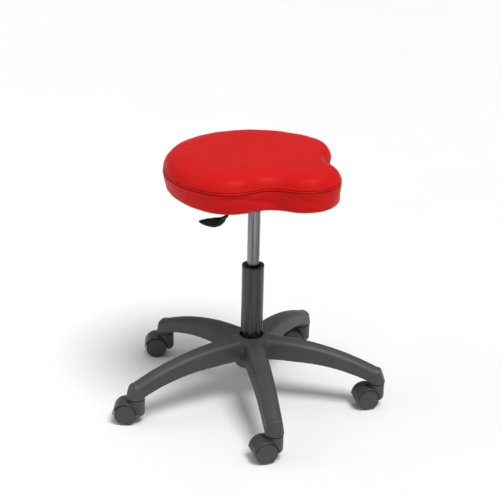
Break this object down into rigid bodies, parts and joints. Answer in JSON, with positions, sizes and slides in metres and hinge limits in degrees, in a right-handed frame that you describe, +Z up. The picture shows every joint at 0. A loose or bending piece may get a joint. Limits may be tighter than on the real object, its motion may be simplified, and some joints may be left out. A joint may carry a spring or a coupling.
{
  "type": "swivel stool",
  "caption": "Height-adjustable swivel stool: saddle-shaped padded seat on a gas lift with a side lever, over an arched star base on hooded twin-wheel casters.",
  "frame": {"origin": "on the floor, where the swivel axis meets it", "axes": "+Z up along the swivel axis; -Y towards the nose of the seat; -X towards the height lever"},
  "size_m": [0.6212, 0.6125, 0.597],
  "materials": {
    "red_vinyl": "smooth vinyl with a fine grain, satin",
    "foam": "open-cell moulded foam",
    "plywood": "plain birch plywood",
    "black_nonwoven": "matt non-woven cloth",
    "plate_paint": "black powder coat",
    "zinc_steel": "bright zinc plate",
    "cylinder_steel": "bare drawn steel, satin",
    "bright_rod": "ground and plated",
    "piston_alloy": "machined",
    "seal_rubber": "matt",
    "bearing_steel": "ground",
    "cage_nylon": "natural nylon",
    "standpipe_paint": "charcoal powder coat, satin",
    "bush_plastic": "black, moulded",
    "base_nylon": "charcoal glass-filled nylon with a fine spark grain",
    "caster_plastic": "charcoal nylon, satin",
    "wheel_plastic": "dark grey nylon, satin",
    "lever_rod_paint": "black",
    "lever_plastic": "black, satin"
  },
  "bodies": {
    "base": {"star_base": "base_nylon", "standpipe": "standpipe_paint", "guide_bush": "bush_plastic", "bottom_plate": "bearing_steel", "lower_washer": "bearing_steel"},
    "lift_rod": {"piston_rod": "bright_rod", "retaining_clip": "bearing_steel", "piston": "piston_alloy", "piston_seal": "seal_rubber", "upper_washer": "bearing_steel", "bearing_balls": "bearing_steel", "bearing_cage": "cage_nylon", "bump_stop": "seal_rubber"},
    "seat": {"gas_cylinder": "cylinder_steel", "rod_guide": "piston_alloy", "taper_socket": "plate_paint", "seat_plate": "plate_paint", "lever_pin": "zinc_steel", "seat_board": "plywood", "tee_nuts": "zinc_steel", "seat_screws": "zinc_steel", "lock_washers": "zinc_steel", "seat_foam": "foam", "seat_cover": "red_vinyl", "under_cover": "black_nonwoven", "cover_staples": "zinc_steel"},
    "lever": {"lever_rod": "lever_rod_paint", "lever_paddle": "lever_plastic"},
    "valve_pin": {"valve_pin": "bright_rod"},
    "caster_1": {"caster_1_hood": "caster_plastic", "caster_1_stem": "bright_rod", "caster_1_grip_ring": "bearing_steel", "caster_1_axle": "bright_rod"},
    "caster_1_left": {"caster_1_wheel_left": "wheel_plastic"},
    "caster_1_right": {"caster_1_wheel_right": "wheel_plastic"},
    "caster_2": {"caster_2_hood": "caster_plastic", "caster_2_stem": "bright_rod", "caster_2_grip_ring": "bearing_steel", "caster_2_axle": "bright_rod"},
    "caster_2_left": {"caster_2_wheel_left": "wheel_plastic"},
    "caster_2_right": {"caster_2_wheel_right": "wheel_plastic"},
    "caster_3": {"caster_3_hood": "caster_plastic", "caster_3_stem": "bright_rod", "caster_3_grip_ring": "bearing_steel", "caster_3_axle": "bright_rod"},
    "caster_3_left": {"caster_3_wheel_left": "wheel_plastic"},
    "caster_3_right": {"caster_3_wheel_right": "wheel_plastic"},
    "caster_4": {"caster_4_hood": "caster_plastic", "caster_4_stem": "bright_rod", "caster_4_grip_ring": "bearing_steel", "caster_4_axle": "bright_rod"},
    "caster_4_left": {"caster_4_wheel_left": "wheel_plastic"},
    "caster_4_right": {"caster_4_wheel_right": "wheel_plastic"},
    "caster_5": {"caster_5_hood": "caster_plastic", "caster_5_stem": "bright_rod", "caster_5_grip_ring": "bearing_steel", "caster_5_axle": "bright_rod"},
    "caster_5_left": {"caster_5_wheel_left": "wheel_plastic"},
    "caster_5_right": {"caster_5_wheel_right": "wheel_plastic"}
  },
  "joints": [
    {"name": "seat_swivel", "type": "hinge", "parent": "base", "child": "lift_rod", "pos_m": [0, 0, 0.1], "axis": [0, 0, 1], "continuous": true},
    {"name": "seat_lift", "type": "slide", "parent": "lift_rod", "child": "seat", "axis": [0, 0, 1], "range_m": [-0.13, 0]},
    {"name": "lever_lift", "type": "hinge", "parent": "seat", "child": "lever", "pos_m": [-0.03, 0, 0.502], "axis": [0, 1, 0], "range_deg": [0, 7], "stiffness_Nm_per_rad": 8, "springref_deg": -14.32},
    {"name": "valve_press", "type": "slide", "parent": "seat", "child": "valve_pin", "axis": [0, 0, -1], "range_m": [0, 0.0045], "stiffness_N_per_m": 400, "springref_m": -0.002},
    {"name": "caster_1_swivel", "type": "hinge", "parent": "base", "child": "caster_1", "pos_m": [0.28319, 0.06694, 0.06], "axis": [0, 0, 1], "continuous": true},
    {"name": "caster_1_left_spin", "type": "hinge", "parent": "caster_1", "child": "caster_1_left", "pos_m": [0.26756, 0.08313, 0.025], "axis": [-0.7193, -0.6947, 0], "continuous": true},
    {"name": "caster_1_right_spin", "type": "hinge", "parent": "caster_1", "child": "caster_1_right", "pos_m": [0.26756, 0.08313, 0.025], "axis": [-0.7193, -0.6947, 0], "continuous": true},
    {"name": "caster_2_swivel", "type": "hinge", "parent": "base", "child": "caster_2", "pos_m": [0.02384, 0.29002, 0.06], "axis": [0, 0, 1], "continuous": true},
    {"name": "caster_2_left_spin", "type": "hinge", "parent": "caster_2", "child": "caster_2_left", "pos_m": [0.00879, 0.30674, 0.025], "axis": [-0.7431, -0.6691, 0], "continuous": true},
    {"name": "caster_2_right_spin", "type": "hinge", "parent": "caster_2", "child": "caster_2_right", "pos_m": [0.00879, 0.30674, 0.025], "axis": [-0.7431, -0.6691, 0], "continuous": true},
    {"name": "caster_3_swivel", "type": "hinge", "parent": "base", "child": "caster_3", "pos_m": [-0.26846, 0.1123, 0.06], "axis": [0, 0, 1], "continuous": true},
    {"name": "caster_3_left_spin", "type": "hinge", "parent": "caster_3", "child": "caster_3_left", "pos_m": [-0.282, 0.13027, 0.025], "axis": [-0.7986, -0.6018, 0], "continuous": true},
    {"name": "caster_3_right_spin", "type": "hinge", "parent": "caster_3", "child": "caster_3_right", "pos_m": [-0.282, 0.13027, 0.025], "axis": [-0.7986, -0.6018, 0], "continuous": true},
    {"name": "caster_4_swivel", "type": "hinge", "parent": "base", "child": "caster_4", "pos_m": [-0.18976, -0.22062, 0.06], "axis": [0, 0, 1], "continuous": true},
    {"name": "caster_4_left_spin", "type": "hinge", "parent": "caster_4", "child": "caster_4_left", "pos_m": [-0.20884, -0.20869, 0.025], "axis": [-0.5299, -0.848, 0], "continuous": true},
    {"name": "caster_4_right_spin", "type": "hinge", "parent": "caster_4", "child": "caster_4_right", "pos_m": [-0.20884, -0.20869, 0.025], "axis": [-0.5299, -0.848, 0], "continuous": true},
    {"name": "caster_5_swivel", "type": "hinge", "parent": "base", "child": "caster_5", "pos_m": [0.15118, -0.24865, 0.06], "axis": [0, 0, 1], "continuous": true},
    {"name": "caster_5_left_spin", "type": "hinge", "parent": "caster_5", "child": "caster_5_left", "pos_m": [0.13275, -0.23574, 0.025], "axis": [-0.5736, -0.8192, 0], "continuous": true},
    {"name": "caster_5_right_spin", "type": "hinge", "parent": "caster_5", "child": "caster_5_right", "pos_m": [0.13275, -0.23574, 0.025], "axis": [-0.5736, -0.8192, 0], "continuous": true}
  ],
  "couplings": [
    {"joint": "valve_press", "follows": "lever_lift", "m_per_rad": 0.0315}
  ]
}
